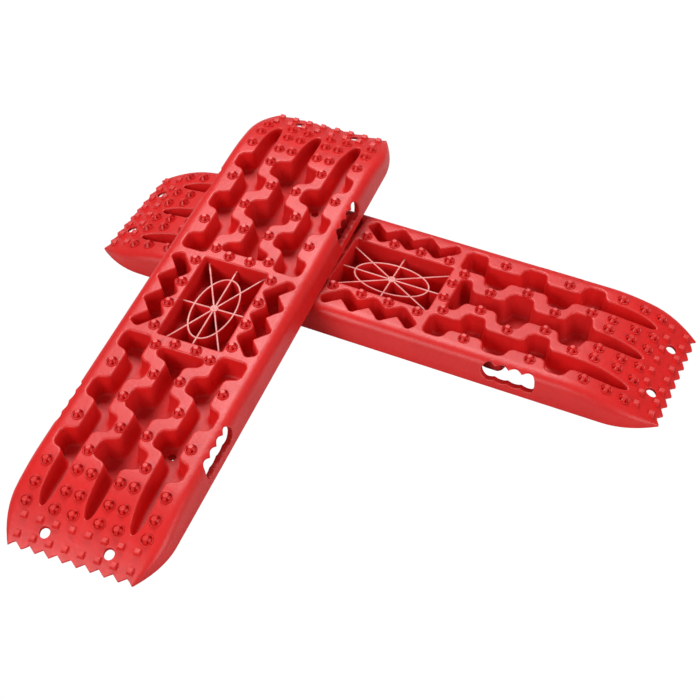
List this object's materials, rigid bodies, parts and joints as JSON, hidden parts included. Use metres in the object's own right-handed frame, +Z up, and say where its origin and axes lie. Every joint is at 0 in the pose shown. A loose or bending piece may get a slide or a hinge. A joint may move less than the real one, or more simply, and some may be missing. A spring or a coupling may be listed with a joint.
{
  "type": "tire traction mats",
  "caption": "Pair of red plastic vehicle traction boards with studs, channels, grip slots and toothed ends, one laid across the other.",
  "frame": {"origin": "middle of the lower board's underside, on the ground", "axes": "+X along the lower board, +Y across it, +Z up"},
  "size_m": [1.06, 1.0655, 0.1345],
  "materials": {
    "deck_plastic": "satin injection-moulded red plastic with a fine mottled grain and paler, scuffed edges",
    "web_plastic": "the same red plastic, paler where the thin ribs catch the light"
  },
  "bodies": {
    "lower_board": {"lower_centre_deck": "deck_plastic", "lower_centre_web": "web_plastic", "lower_left_channel_deck": "deck_plastic", "lower_right_channel_deck": "deck_plastic", "lower_left_ramp": "deck_plastic", "lower_right_ramp": "deck_plastic", "lower_front_rail": "deck_plastic", "lower_rear_rail": "deck_plastic"},
    "upper_board": {"upper_centre_deck": "deck_plastic", "upper_centre_web": "web_plastic", "upper_left_channel_deck": "deck_plastic", "upper_right_channel_deck": "deck_plastic", "upper_left_ramp": "deck_plastic", "upper_right_ramp": "deck_plastic", "upper_front_rail": "deck_plastic", "upper_rear_rail": "deck_plastic"}
  },
  "joints": [
    {"name": "upper_board_lift", "type": "slide", "parent": "lower_board", "child": "upper_board", "axis": [0, 0, 1], "range_m": [0, 0.3]}
  ]
}
